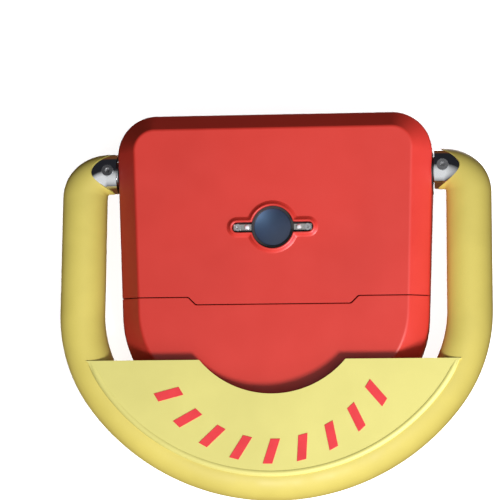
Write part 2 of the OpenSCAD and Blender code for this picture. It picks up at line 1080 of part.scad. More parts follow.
// round wire swept along a helix about the shaft
module buffer_spring() {
    n = 20 * spring_turns;
    x0 = 98.5;
    x1 = 109.5;
    wire = 1.2;
    rad = 17.5;
    pts = [
        for (i = [0 : n])
            for (j = [0 : 7])
                let (a = 18 * i, b = 45 * j, r = rad + wire * cos(b))
                    [x0 + (x1 - x0) * i / n + wire * sin(b), r * cos(a), r * sin(a)]
    ];
    faces = concat(
        [[for (j = [7 : -1 : 0]) j]],
        [for (i = [0 : n - 1]) for (j = [0 : 7])
            [8 * i + j, 8 * i + (j + 1) % 8, 8 * (i + 1) + (j + 1) % 8, 8 * (i + 1) + j]],
        [[for (j = [0 : 7]) 8 * n + j]]
    );
    color([0.3, 0.31, 0.33])
        translate([0, pivot_y, pivot_z])
            polyhedron(points = pts, faces = faces, convexity = 8);
}

// ---- gears ----

module drive_gear() {
    color([0.5, 0.51, 0.53])
        translate([0, pivot_y, pivot_z])
            difference() {
                union() {
                    translate([gear_x, 0, 0])
                        rotate([90, 0, 90])
                            linear_extrude(gear_w)
                                gear2d(gear_n, gear_m, 1.6, 2.6, 0.3);
                    rod_x(20, 78, 97);
                }
                rod_x(shaft_r + run_gap, 60, 120);
                for (k = [0 : 5])
                    rotate([60 * k, 0, 0])
                        translate([0, 0, 22.2])
                            rod_x(1.4, 70, 110);
            }
}

module magnet_disc() {
    color([0.2, 0.2, 0.22])
        translate([0, pivot_y, pivot_z])
            difference() {
                rod_x(19.5, 74, 78);
                rod_x(shaft_r + 0.6, 60, 120);
            }
}

module layshaft() {
    color([0.68, 0.69, 0.71])
        translate([0, lay_y, pivot_z]) {
            rod_x(lay_r, 47, 105);
            rod_x(7, 54.6, wheel_x - wheel_w / 2);
            rod_x(7, wheel_x + wheel_w / 2, gear_x);
            rod_x(7, gear_x + gear_w, 97.4);
        }
}

module drive_pinion() {
    color([0.56, 0.57, 0.6])
        translate([gear_x, lay_y, pivot_z])
            rotate([90, 0, 90])
                difference() {
                    linear_extrude(gear_w)
                        rotate(180 / pinion_n)
                            gear2d(pinion_n, gear_m, 1.8, 2.5, 0.3);
                    translate([0, 0, -1])
                        cylinder(r = lay_r, h = gear_w + 2);
                }
}

module worm_wheel() {
    turn = wheel_w * tan(helix) / (worm_m * wheel_n / 2) * 180 / PI;
    color([0.74, 0.55, 0.28])
        translate([wheel_x, lay_y, pivot_z])
            rotate([90, 0, 90])
                difference() {
                    rotate(-turn / 2)
                        translate([0, 0, -wheel_w / 2])
                            linear_extrude(wheel_w, twist = -turn, slices = 3)
                                gear2d(wheel_n, worm_m, 1.05, 1.5, 0.35);
                    translate([0, 0, -20])
                        cylinder(r = lay_r, h = 40);
                }
}

module motor_shaft() {
    color([0.7, 0.71, 0.73])
        translate([wheel_x, 0, worm_z])
            rod_y(mshaft_r, motor_y + 0.5, lay_y + 18);
}

// single-start thread: the section's radius follows the tooth form once round
module worm() {
    crest = 0.42;
    foot = 1.42;
    steps = [crest, 0.75, 1.09, foot, 1.68];
    turns = concat([0], steps, [worm_lead / 2], [for (i = [4 : -1 : 0]) worm_lead - steps[i]]);
    color([0.6, 0.61, 0.64])
        translate([wheel_x, lay_y - worm_l / 2, worm_z])
            rotate([-90, 0, 0])
                difference() {
                    rotate(90 - 180 * worm_l / worm_lead)
                        linear_extrude(worm_l, twist = -360 * worm_l / worm_lead, slices = 52,
                            $fn = 12)
                            polygon([
                                for (t = turns)
                                    let (
                                        a = 360 * t / worm_lead,
                                        d = min(t, worm_lead - t),
                                        k = max(0, min(1, (d - crest) / (foot - crest))),
                                        r = worm_pr + 1.05 - 2.65 * k
                                    )
                                        [r * cos(a), r * sin(a)]
                            ]);
                    translate([0, 0, -1])
                        cylinder(r = mshaft_r, h = worm_l + 2);
                }
}

module motor_armature() {
    color([0.6, 0.32, 0.14])
        translate([wheel_x, 0, worm_z])
            difference() {
                union() {
                    rod_y(11, motor_y + 12, lay_y - 34);
                    rod_y(5, motor_y + 4, motor_y + 12);
                }
                rod_y(mshaft_r, motor_y, lay_y);
            }
}

// ---- what is drawn ----

base_plate();
base_gasket();
bearing_blocks();
shaft_bushes();
bearing_bolts();
side_glands();
shaft_seals();
gearbox_frame();
gearbox_cover();
gearbox_screws();
motor_can();
motor_end_cap();
motor_strap();
battery_tray();
battery_cells();
control_board();
board_relays();
board_controller();
board_capacitor();
terminal_blocks();
buzzer();
antenna();
board_standoffs();
hall_board();
lock_keeper();
front_cover();
front_cover_screws();
battery_lead();
motor_lead();
hall_lead();
rear_cover();
sensor_window();
window_backing();
window_screws();
indicator_lights();
sensor_module();
lock_barrel();
lock_nut();
lock_plug();
lock_cam();
lock_flap();
pivot_shaft();
left_elbow();
right_elbow();
elbow_screws();
arm_tube();
arm_sleeve();
arm_panel();
panel_marks();
spring_collar();
cross_pin();
buffer_spring();
drive_gear();
magnet_disc();
layshaft();
drive_pinion();
worm_wheel();
motor_shaft();
worm();
motor_armature();
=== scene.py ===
"""Looks for the folding parking lock.

Smooth covers, arm and window pieces, then materials, floor, light and camera.
"""

import json
import math

import bmesh
import bpy
from mathutils import Matrix, Vector


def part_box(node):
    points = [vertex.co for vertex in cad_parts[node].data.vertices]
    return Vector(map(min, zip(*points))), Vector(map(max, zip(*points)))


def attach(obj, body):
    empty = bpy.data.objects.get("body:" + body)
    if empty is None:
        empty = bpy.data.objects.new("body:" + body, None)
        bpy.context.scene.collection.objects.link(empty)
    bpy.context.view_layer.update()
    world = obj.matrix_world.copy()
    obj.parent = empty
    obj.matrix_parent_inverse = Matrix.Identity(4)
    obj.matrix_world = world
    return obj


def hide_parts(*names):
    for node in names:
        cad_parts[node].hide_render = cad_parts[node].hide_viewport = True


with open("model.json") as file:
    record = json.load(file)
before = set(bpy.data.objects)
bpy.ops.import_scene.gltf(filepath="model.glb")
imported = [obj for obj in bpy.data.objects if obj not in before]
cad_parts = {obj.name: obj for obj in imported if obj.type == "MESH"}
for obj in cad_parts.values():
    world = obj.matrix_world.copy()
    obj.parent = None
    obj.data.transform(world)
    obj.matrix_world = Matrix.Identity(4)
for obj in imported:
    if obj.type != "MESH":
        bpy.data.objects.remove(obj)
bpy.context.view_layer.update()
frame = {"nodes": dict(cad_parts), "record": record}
MM = 0.001

# ---- sizes in millimetres, from the frame where it holds them ----

# Pivot and housing
SHAFT = [v / MM for v in (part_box("pivot_shaft")[0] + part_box("pivot_shaft")[1]) / 2]
PIVOT_Y, PIVOT_Z = SHAFT[1], SHAFT[2]
COVER_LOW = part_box("rear_cover")[0].z / MM
REAR_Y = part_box("rear_cover")[1].y / MM
TOP_REAR_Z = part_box("rear_cover")[1].z / MM
TOP_SLOPE = 0.18
BEVEL_RUN, BEVEL_DROP = 20.5, 20
WALL = 3
# How far the bevel's lower edge and the top face move for each millimetre of inset
KNEE_SHIFT, TOP_SHIFT = 0.42, 1.02
WALL_ROUND, TOP_ROUND = 7, 5
INNER_WALL_ROUND, INNER_TOP_ROUND = 4, 3
REAR_C, REAR_R = (126, REAR_Y - 42), 42
NOSE_C, NOSE_R = (53, -6.4), 110
SEAM_Y, SEAM_GAP, TONGUE_W, TONGUE_L, TONGUE_ROUND = 6.6, 0.8, 82, 8, 4
AXLE_X, NOTCH_R = (150, 180), 19
LOCK_Z, KEYHOLE_R = 34, 9.6

# Window: opening, lip and the strips in its ears
WINDOW_Y = 78.6
OPENING_R, EAR_L, EAR_W = 22.5, 86, 11
LIP_W, LIP_H = 5.5, 3
RING_R, STRIP_END, STRIP_HALF_W, STRIP_LOW, STRIP_TOP = 22.6, 41.5, 3.2, -6.05, -3.3
SCREW_X, SCREW_HOLE_R = 37, 3.65

# Arm: middle line, sleeve, panel and bead, in the arm's own frame
ARM_DROP = math.radians(2.8)
TUBE_R, SLEEVE_R = 21, 24
ARM_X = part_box("arm_sleeve")[1].x / MM - SLEEVE_R
ELBOW_R, LEG_LEN = 26, 152
SIDE_CX, FRONT_OFF = 60, 45
SIDE_R = ARM_X - SIDE_CX
SIDE_SWEEP = math.degrees(math.atan2(FRONT_OFF, SIDE_CX))
FRONT_R = SIDE_R + math.hypot(SIDE_CX, FRONT_OFF)
FRONT_CY = FRONT_OFF - LEG_LEN
ELBOW_STEPS, SIDE_STEPS, BOW_STEPS = 16, 24, 40
SLEEVE_END, SLEEVE_TIP, SLEEVE_ARCH = 174, 197, 0.05
SLEEVE_END_WALL, SWELL_STEPS = 0.5, 13
PANEL_EDGE_Y, CUT_R, CUT_CY = -206.8, 100, -142.8
PANEL_TOP, PANEL_LOW = 25.5, 20
BEAD_R, BEAD_OUT, BEAD_SINK = 4, -2.6, 3.25
BEAD_START, BEAD_GROWTH = 0.82, 0.06

# Rounding of sharp edges: widths, and the angles in degrees from which an edge is rounded
COVER_EDGE, SLEEVE_EDGE, PANEL_EDGE, STRIP_EDGE, NODE_EDGE = 0.8, 0.8, 1, 0.3, 0.3
ROUND_FROM, NODE_ROUND_FROM = 50, 40

# Sides and steps of round shapes
ROD_SIDES, ARM_SIDES, BEAD_SIDES = 64, 96, 24
REAR_STEPS, NOSE_STEPS, OPENING_STEPS, CUT_STEPS = 22, 40, 240, 72
FILLET_STEPS, TONGUE_STEPS = 6, 5


def top_z(y):
    """Height of the sloping top face at y."""
    return TOP_REAR_Z - TOP_SLOPE * (REAR_Y - BEVEL_RUN - y)


ARM_FRAME = Matrix.Translation((0, PIVOT_Y, PIVOT_Z)) @ Matrix.Rotation(ARM_DROP, 4, "X")


def on_top(y):
    """The frame of the sloping top face at y."""
    return Matrix.Translation((0, y, top_z(y))) @ Matrix.Rotation(math.atan(TOP_SLOPE), 4, "X")


WINDOW_FRAME = on_top(WINDOW_Y)
SEAM_FRAME = on_top(SEAM_Y) @ Matrix.Translation((0, -SEAM_Y, 0))

# ---- mesh helpers ----


def make(name, verts, faces, place=Matrix.Identity(4), smooth_deg=30):
    """A mesh object from points in millimetres; edges sharper than smooth_deg stay crisp."""
    mesh = bpy.data.meshes.new(name)
    mesh.from_pydata([(place @ Vector(v)) * MM for v in verts], [], faces)
    bm = bmesh.new()
    bm.from_mesh(mesh)
    bmesh.ops.remove_doubles(bm, verts=bm.verts, dist=1e-6)
    bmesh.ops.recalc_face_normals(bm, faces=bm.faces)
    bm.to_mesh(mesh)
    bm.free()
    obj = bpy.data.objects.new(name, mesh)
    bpy.context.scene.collection.objects.link(obj)
    shade(obj, smooth_deg)
    return obj


def shade(obj, smooth_deg):
    """Smooth shading that breaks at edges sharper than smooth_deg."""
    obj.data.shade_smooth()
    obj.data.set_sharp_from_angle(angle=math.radians(smooth_deg))


def arc(c, r, a0, a1, n):
    """n + 1 points of the arc round c from a0 to a1 degrees."""
    angles = [math.radians(a0 + (a1 - a0) * i / n) for i in range(n + 1)]
    return [(c[0] + r * math.cos(a), c[1] + r * math.sin(a)) for a in angles]


def full_turn(n):
    """n equal steps of a full turn, in radians."""
    return [2 * math.pi * i / n for i in range(n)]


def rings(name, loops, place=Matrix.Identity(4), closed=False, smooth_deg=30):
    """Joins equal-length loops of 3-D points into a skin, with end faces unless it closes on itself."""
    n = len(loops[0])
    verts = [p for loop in loops for p in loop]
    faces = []
    last = len(loops) if closed else len(loops) - 1
    for k in range(last):
        a, b = k * n, (k + 1) % len(loops) * n
        for i in range(n):
            j = (i + 1) % n
            faces.append((a + i, a + j, b + j, b + i))
    if not closed:
        faces.append(tuple(range(n)))
        faces.append(tuple(range((len(loops) - 1) * n, len(loops) * n)))
    return make(name, verts, faces, place, smooth_deg)


def prism(name, plan, z0, z1, place=Matrix.Identity(4)):
    """A plan drawn up from z0 to z1."""
    return rings(name, [[(x, y, z) for x, y in plan] for z in (z0, z1)], place)


def rod(name, r, start, end, place=Matrix.Identity(4)):
    """Round bar between two points."""
    a, b = Vector(start), Vector(end)
    turn = (b - a).to_track_quat("Z", "Y").to_matrix()
    circle = [turn @ Vector((r * math.cos(t), r * math.sin(t), 0)) for t in full_turn(ROD_SIDES)]
    return rings(name, [[c + p for p in circle] for c in (a, b)], place)


def combine(obj, other, how):
    """Applies a boolean with another object, which is used up."""
    mod = obj.modifiers.new("cut", "BOOLEAN")
    mod.operation, mod.object, mod.solver = how, other, "EXACT"
    bake(obj)
    bpy.data.objects.remove(other)
    return obj


def bake(obj):
    """Applies an object's modifiers to its mesh."""
    bpy.context.view_layer.update()
    shown = obj.evaluated_get(bpy.context.evaluated_depsgraph_get())
    mesh = bpy.data.meshes.new_from_object(shown)
    obj.modifiers.clear()
    obj.data = mesh


def soften(obj, width, segments=3, smooth_deg=40):
    """Rounds every edge sharper than ROUND_FROM, to width in millimetres."""
    mod = obj.modifiers.new("round", "BEVEL")
    mod.width, mod.segments, mod.limit_method = width * MM, segments, "ANGLE"
    mod.angle_limit = math.radians(ROUND_FROM)
    mod.use_clamp_overlap = True
    bake(obj)
    shade(obj, smooth_deg)
    return obj


def join(name, objs):
    """One object from several, each keeping its own closed shell."""
    bm = bmesh.new()
    for o in objs:
        bm.from_mesh(o.data)
        bpy.data.objects.remove(o)
    mesh = bpy.data.meshes.new(name)
    bm.to_mesh(mesh)
    bm.free()
    obj = bpy.data.objects.new(name, mesh)
    bpy.context.scene.collection.objects.link(obj)
    return obj


def finish_piece(obj, name, body, slot, *nodes):
    """Names a piece, gives it its slot's material, and says what it rides on and replaces."""
    obj.name = obj.data.name = name
    flow = obj.modifiers.new("flow", "WEIGHTED_NORMAL")
    flow.weight, flow.keep_sharp = 100, True
    obj.data.materials.clear()
    obj.data.materials.append(MATS[slot])
    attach(obj, body)
    if nodes:
        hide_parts(*nodes)


# ---- material helpers ----


def blank(name):
    """A new material, its node tree and its shader."""
    mat = bpy.data.materials.new(name)
    mat.use_nodes = True
    nt = mat.node_tree
    return mat, nt, nt.nodes["Principled BSDF"]


def noise(nt, scale, detail=3, stretch=(1, 1, 1)):
    """Noise over the object's own coordinates."""
    coord = nt.nodes.new("ShaderNodeTexCoord")
    place = nt.nodes.new("ShaderNodeMapping")
    tex = nt.nodes.new("ShaderNodeTexNoise")
    place.inputs["Scale"].default_value = stretch
    tex.inputs["Scale"].default_value = scale
    tex.inputs["Detail"].default_value = detail
    nt.links.new(coord.outputs["Object"], place.inputs["Vector"])
    nt.links.new(place.outputs["Vector"], tex.inputs["Vector"])
    return tex.outputs["Fac"]


def spread(nt, value, low, high, out_low=0.0, out_high=1.0):
    """Maps a value's range from low to high onto another, and clips it there."""
    m = nt.nodes.new("ShaderNodeMapRange")
    for key, v in (("From Min", low), ("From Max", high), ("To Min", out_low), ("To Max", out_high)):
        m.inputs[key].default_value = v
    nt.links.new(value, m.inputs["Value"])
    return m.outputs["Result"]


def mix(nt, factor, a, b):
    """Blends a into b. Each is a colour or the output of a node."""
    m = nt.nodes.new("ShaderNodeMix")
    m.data_type = "RGBA"
    nt.links.new(factor, m.inputs["Factor"])
    for socket, v in ((m.inputs["A"], a), (m.inputs["B"], b)):
        if isinstance(v, tuple):
            socket.default_value = (*v, 1)
        else:
            nt.links.new(v, socket)
    return m.outputs["Result"]


def bump(nt, bsdf, height, strength, distance):
    """Relief, its distance in millimetres."""
    b = nt.nodes.new("ShaderNodeBump")
    b.inputs["Strength"].default_value = strength
    b.inputs["Distance"].default_value = distance * MM
    nt.links.new(height, b.inputs["Height"])
    nt.links.new(b.outputs["Normal"], bsdf.inputs["Normal"])


def tint(color, k):
    """The colour k times as bright."""
    return tuple(min(1, c * k) for c in color)


def surface(name, color, rough=0.5, metal=0.0, vary=0.12, patch=9, grain=900, grain_mm=0.03,
            wear=None, hollow_tone=None, stretch=(1, 1, 1), coat=0.0):
    """Moulded, painted or machined surface: patchy tone, uneven gloss and fine relief.

    wear is the colour of worn edges; dirt is the darker colour laid into hollows, where pointiness is
    low.
    """
    mat, nt, bsdf = blank(name)
    bsdf.inputs["Metallic"].default_value = metal
    bsdf.inputs["Coat Weight"].default_value = coat
    bsdf.inputs["Coat Roughness"].default_value = 0.12
    tone = spread(nt, noise(nt, patch, 4), 0.35, 0.65)
    out = mix(nt, tone, tint(color, 1 - vary), tint(color, 1 + vary))
    fine = noise(nt, grain, 2, stretch)
    out = mix(nt, spread(nt, fine, 0.3, 0.7, 0, 0.25), out, tint(color, 1 - 1.5 * vary))
    if wear or hollow_tone:
        geo = nt.nodes.new("ShaderNodeNewGeometry")
        edge = geo.outputs["Pointiness"]
        broken = noise(nt, 60, 5)
        # Edges where pointiness is high take the wear colour, and hollows where it is low turn darker.
        for shade_color, low, high in ((wear, 0.53, 0.6), (hollow_tone, 0.47, 0.42)):
            if shade_color:
                m = nt.nodes.new("ShaderNodeMath")
                m.operation = "MULTIPLY"
                nt.links.new(spread(nt, edge, low, high, 0, 0.8), m.inputs[0])
                nt.links.new(spread(nt, broken, 0.35, 0.65, 0.2, 1), m.inputs[1])
                out = mix(nt, m.outputs["Value"], out, shade_color)
    nt.links.new(out, bsdf.inputs["Base Color"])
    gloss = spread(nt, noise(nt, patch * 4, 4), 0.3, 0.7, rough * 0.85, min(1, rough * 1.15))
    nt.links.new(gloss, bsdf.inputs["Roughness"])
    if grain_mm:
        bump(nt, bsdf, fine, 0.5, grain_mm)
    return mat


def spangled(name, color):
    """Hot-dip zinc: crystal patches that differ in tone and gloss."""
    mat, nt, bsdf = blank(name)
    bsdf.inputs["Metallic"].default_value = 0.85
    coord = nt.nodes.new("ShaderNodeTexCoord")
    cells = nt.nodes.new("ShaderNodeTexVoronoi")
    cells.inputs["Scale"].default_value = 130
    nt.links.new(coord.outputs["Object"], cells.inputs["Vector"])
    one = nt.nodes.new("ShaderNodeSeparateColor")
    nt.links.new(cells.outputs["Color"], one.inputs["Color"])
    out = mix(nt, one.outputs["Red"], tint(color, 0.8), tint(color, 1.15))
    out = mix(nt, spread(nt, noise(nt, 14, 5), 0.5, 0.75, 0, 0.5), out, tint(color, 0.6))
    nt.links.new(out, bsdf.inputs["Base Color"])
    nt.links.new(spread(nt, one.outputs["Green"], 0, 1, 0.35, 0.6), bsdf.inputs["Roughness"])
    return mat


def board(name, color):
    """Circuit board: tracks a little lighter than the lacquer between them."""
    mat, nt, bsdf = blank(name)
    coord = nt.nodes.new("ShaderNodeTexCoord")
    tracks = nt.nodes.new("ShaderNodeTexBrick")
    tracks.inputs["Scale"].default_value = 60
    tracks.inputs["Mortar Size"].default_value = 0.05
    tracks.inputs["Color1"].default_value = (*tint(color, 0.85), 1)
    tracks.inputs["Color2"].default_value = (*color, 1)
    tracks.inputs["Mortar"].default_value = (*tint(color, 1.9), 1)
    nt.links.new(coord.outputs["Object"], tracks.inputs["Vector"])
    cloud = spread(nt, noise(nt, 25, 3), 0.3, 0.7, 0, 0.3)
    out = mix(nt, cloud, tracks.outputs["Color"], tint(color, 0.7))
    nt.links.new(out, bsdf.inputs["Base Color"])
    nt.links.new(spread(nt, noise(nt, 40, 3), 0.3, 0.7, 0.25, 0.4), bsdf.inputs["Roughness"])
    bump(nt, bsdf, tracks.outputs["Fac"], 0.4, 0.05)
    return mat


def dark_window(name, color):
    """Smoked dome: nearly opaque, with a satin gloss."""
    mat, nt, bsdf = blank(name)
    bsdf.inputs["Coat Weight"].default_value = 0.3
    bsdf.inputs["Coat Roughness"].default_value = 0.4
    out = mix(nt, spread(nt, noise(nt, 30, 3), 0.35, 0.65), color, tint(color, 1.35))
    nt.links.new(out, bsdf.inputs["Base Color"])
    nt.links.new(spread(nt, noise(nt, 90, 3), 0.3, 0.7, 0.36, 0.42), bsdf.inputs["Roughness"])
    return mat


RED = (0.60, 0.039, 0.027)
YELLOW = (0.66, 0.56, 0.13)
# The panel's yellow is the foam's yellow made lighter and paler: painted light for the flat face that
# turns up to the lamps.
LIT_PANEL_YELLOW = (0.72, 0.68, 0.21)
STEEL = (0.52, 0.53, 0.55)

MATS = {
    "red_cover": surface("red_moulding", RED, 0.42, vary=0.06, patch=7, grain=1400, grain_mm=0.025),
    "yellow_foam": surface("foam_skin", YELLOW, 0.55, vary=0.07, patch=11, grain=1100, grain_mm=0.05),
    # The panel's skin takes that lighter yellow, painted light.
    "yellow_panel": surface("panel_skin_lit", LIT_PANEL_YELLOW, 0.5, vary=0.05, grain=1300),
    "red_marks": surface("red_film", (0.78, 0.05, 0.06), 0.42, vary=0.06, patch=40, grain=2200,
                         grain_mm=0.01),
    "chrome_tube": surface("chrome_plate", (0.78, 0.8, 0.82), 0.09, 1.0, vary=0.04, patch=20, grain=500,
                           grain_mm=0.004, hollow_tone=(0.25, 0.22, 0.19)),
    "tube_steel": surface("drawn_steel", STEEL, 0.3, 1.0, grain=160, grain_mm=0.02, stretch=(0.1, 1, 1)),
    "base_steel": spangled("galvanised_steel", (0.5, 0.52, 0.54)),
    "block_steel": surface("cast_block", (0.3, 0.31, 0.33), 0.5, 0.9, grain=420, grain_mm=0.12,
                           wear=(0.6, 0.6, 0.62)),
    "gear_steel": surface("cut_gear_steel", (0.45, 0.46, 0.48), 0.32, 1.0, grain=260,
                          wear=(0.7, 0.7, 0.72), hollow_tone=(0.06, 0.05, 0.04)),
    "bronze": surface("turned_bronze", (0.62, 0.38, 0.14), 0.3, 1.0, grain=300, grain_mm=0.02,
                      stretch=(6, 1, 1), hollow_tone=(0.16, 0.09, 0.04)),
    "stainless": surface("bright_stainless", (0.68, 0.69, 0.71), 0.2, 1.0, vary=0.05, patch=60,
                         grain_mm=0.01, hollow_tone=(0.12, 0.11, 0.1)),
    "zinc_steel": surface("zinc_plate", (0.56, 0.57, 0.55), 0.33, 1.0, patch=35, grain=500,
                          grain_mm=0.02, wear=(0.75, 0.75, 0.74)),
    "spring_steel": surface("oiled_spring", (0.12, 0.12, 0.13), 0.28, 1.0, patch=60, grain=700,
                            grain_mm=0.02),
    "black_rubber": surface("rubber", (0.02, 0.02, 0.021), 0.7, grain=800, grain_mm=0.06),
    "black_plastic": surface("black_moulding", (0.022, 0.022, 0.025), 0.45, grain=1200, grain_mm=0.04,
                             wear=(0.07, 0.07, 0.075)),
    "gearbox_metal": surface("die_casting", (0.33, 0.34, 0.36), 0.42, 0.9, grain=600, grain_mm=0.05,
                             wear=(0.6, 0.6, 0.62)),
    "cell_sleeve": surface("cell_wrap", (0.03, 0.14, 0.11), 0.3, vary=0.08, patch=40, grain=1500,
                           grain_mm=0.01, coat=0.4),
    "board_green": board("board_lacquer", (0.02, 0.12, 0.05)),
    "relay_blue": surface("relay_case", (0.03, 0.08, 0.24), 0.35, patch=50, grain=1500, grain_mm=0.02),
    "terminal_green": surface("terminal_case", (0.03, 0.24, 0.08), 0.42, patch=50, grain=1500,
                              grain_mm=0.02),
    "capacitor_sleeve": surface("capacitor_wrap", (0.03, 0.035, 0.12), 0.28, patch=50, grain=1500,
                                grain_mm=0.01, coat=0.3),
    "wire_red": surface("red_insulation", (0.42, 0.02, 0.015), 0.36, patch=80, grain=1500, grain_mm=0.01),
    "wire_black": surface("black_insulation", (0.02, 0.02, 0.02), 0.36, patch=80, grain=1500,
                          grain_mm=0.01),
    "copper": surface("copper_winding", (0.5, 0.2, 0.08), 0.35, 0.9, patch=60, grain=400, grain_mm=0.15,
                      stretch=(1, 8, 1)),
    "smoked_window": dark_window("smoked_dome", (0.028, 0.042, 0.075)),
    "clear_light": surface("clear_lens", (0.72, 0.76, 0.8), 0.12, vary=0.06, patch=90, grain_mm=0.01,
                           coat=0.8),
}

for entry in frame["record"]["subparts"]:
    node = frame["nodes"][entry["node"]]
    for slot in node.material_slots:
        slot.material = MATS[entry["material_slot"]]

# ---- housing covers ----


def corner_angle():
    """Direction of the side wall's outward normal, from the common tangent of the corner circles."""
    dx, dy = NOSE_C[0] - REAR_C[0], NOSE_C[1] - REAR_C[1]
    return math.degrees(math.atan2(dy, dx) + math.acos(-(NOSE_R - REAR_R) / math.hypot(dx, dy)))


WALL_NORMAL = corner_angle()


def outline(d):
    """Plan of the housing, moved inwards by d."""
    rear = arc(REAR_C, REAR_R - d, 90, WALL_NORMAL, REAR_STEPS)
    nose = arc(NOSE_C, NOSE_R - d, WALL_NORMAL, -90, NOSE_STEPS)
    half = rear + nose
    return half + [(-x, y) for x, y in reversed(half)]


def fillet(p0, p1, p2, r, n):
    """Points of the arc of radius r that rounds the corner p1."""
    a, b, c = Vector(p0), Vector(p1), Vector(p2)
    u, v = (a - b).normalized(), (c - b).normalized()
    half = u.angle(v) / 2
    reach = r / math.tan(half)
    centre = b + (u + v).normalized() * (r / math.sin(half))
    start, end = b + u * reach - centre, b + v * reach - centre
    turn = start.angle(end)
    return [
        centre + (start * math.sin(turn * (1 - i / n)) + end * math.sin(turn * i / n)) / math.sin(turn)
        for i in range(n + 1)
    ]


def housing(name, t, low, r_wall, r_top):
    """The whole housing, its faces moved inwards by t, with rounded edges.

    The section runs in (inset, drop).
    """
    foot = (t, 100)
    knee = (t, BEVEL_DROP + t * KNEE_SHIFT)
    brow = (BEVEL_RUN + t * KNEE_SHIFT, t * TOP_SHIFT)
    flat = (80, t * TOP_SHIFT)
    section = fillet(foot, knee, brow, r_wall, FILLET_STEPS)
    section += fillet(knee, brow, flat, r_top, FILLET_STEPS)
    loops = [[(x, y, low) for x, y in outline(t)]]
    for inset, drop in section:
        loops.append([(x, y, top_z(y) - drop) for x, y in outline(inset)])
    return rings(name, loops, smooth_deg=35)


def seam_zone(gap):
    """Plan of everything in front of the seam, the stepped tongue's corners rounded."""
    y0, y1, w = SEAM_Y - gap, SEAM_Y - TONGUE_L - gap, TONGUE_W + gap
    pts = []
    for s in (-1, 1):
        outer, inner = (s * (w + TONGUE_L), y0), (s * w, y1)
        steps = fillet((s * 150, y0), outer, inner, TONGUE_ROUND, TONGUE_STEPS)
        steps += fillet(outer, inner, (0, y1), TONGUE_ROUND, TONGUE_STEPS)
        pts += [(p[0], p[1]) for p in (steps if s < 0 else reversed(steps))]
    return [(-250, y0), *pts, (250, y0), (250, -300), (-250, -300)]


def opening(d):
    """Round window opening with an ear each side, moved outwards by d, as radius over angle."""
    pts = []
    reach, half_w = EAR_L / 2 - EAR_W / 2, EAR_W / 2 + d
    for a in full_turn(OPENING_STEPS):
        ca, sa = abs(math.cos(a)), abs(math.sin(a))
        side = half_w / sa if sa > 1e-9 else 1e9
        if side * ca > reach:
            side = reach * ca + math.sqrt(max(0, half_w**2 - (reach * sa) ** 2))
        r = max(OPENING_R + d, side)
        pts.append((r * math.cos(a), r * math.sin(a)))
    return pts


def lip():
    """Raised rim round the opening: a narrow crest, then a slope down to the top face."""
    crest = [(0, -7), (0, 2.2), (0.25, 2.75), (0.8, LIP_H), (1.5, LIP_H - 0.1), (2.2, 2.5)]
    slope = [(3.2, 1.5), (4.2, 0.6), (LIP_W, 0.05), (LIP_W + 0.6, -0.4), (LIP_W - 1, -2), (3, -7)]
    loops = [[(x, y, z) for x, y in opening(d)] for d, z in crest + slope]
    return rings("lip", loops, WINDOW_FRAME, closed=True, smooth_deg=60)


def axle_slot(s):
    """Round-topped slot through the rear cover's side wall, for side s."""
    x0, x1 = (s * x for x in AXLE_X)
    y0, y1 = PIVOT_Y - NOTCH_R, PIVOT_Y + NOTCH_R
    yield rod("axle", NOTCH_R, (x0, PIVOT_Y, PIVOT_Z), (x1, PIVOT_Y, PIVOT_Z))
    yield prism("foot", [(x0, y0), (x1, y0), (x1, y1), (x0, y1)], -5, PIVOT_Z)


def build_covers():
    shells = {}
    for part, gap in (("front", SEAM_GAP / 2), ("rear", -SEAM_GAP / 2)):
        shell = housing("shell", 0, COVER_LOW, WALL_ROUND, TOP_ROUND)
        core = housing("core", WALL, COVER_LOW - 5, INNER_WALL_ROUND, INNER_TOP_ROUND)
        combine(shell, core, "DIFFERENCE")
        zone = prism("zone", seam_zone(gap), -80, 40, SEAM_FRAME)
        shells[part] = combine(shell, zone, "INTERSECT" if part == "front" else "DIFFERENCE")
    rear = shells["rear"]
    combine(rear, prism("hole", opening(0.4), -14, 14, WINDOW_FRAME), "DIFFERENCE")
    for s in (-1, 1):
        for cutter in axle_slot(s):
            combine(rear, cutter, "DIFFERENCE")
    keyhole = rod("key", KEYHOLE_R, (0, REAR_Y - 15, LOCK_Z), (0, REAR_Y + 5, LOCK_Z))
    combine(rear, keyhole, "DIFFERENCE")
    for part in shells.values():
        soften(part, COVER_EDGE, smooth_deg=35)
    rear = join("rear_shell", [rear, lip()])
    finish_piece(rear, "rear_shell", "lid", "red_cover", "rear_cover")
    finish_piece(shells["front"], "front_shell", "base", "red_cover", "front_cover")


def build_clips():
    """Bright strips in the ears of the opening, round the screw heads."""
    strips = []
    for s in (-1, 1):
        inner = arc((0, 0), RING_R, -8, 8, 6)
        plan = [(s * x, y) for x, y in [*inner, (STRIP_END, STRIP_HALF_W), (STRIP_END, -STRIP_HALF_W)]]
        strip = prism("strip", plan, STRIP_LOW, STRIP_TOP, WINDOW_FRAME)
        x = s * SCREW_X
        combine(strip, rod("hole", SCREW_HOLE_R, (x, 0, -9), (x, 0, 0), place=WINDOW_FRAME), "DIFFERENCE")
        strips.append(soften(strip, STRIP_EDGE, segments=2))
    finish_piece(join("window_clips", strips), "window_clips", "lid", "zinc_steel")


build_covers()
build_clips()

# ---- arm ----


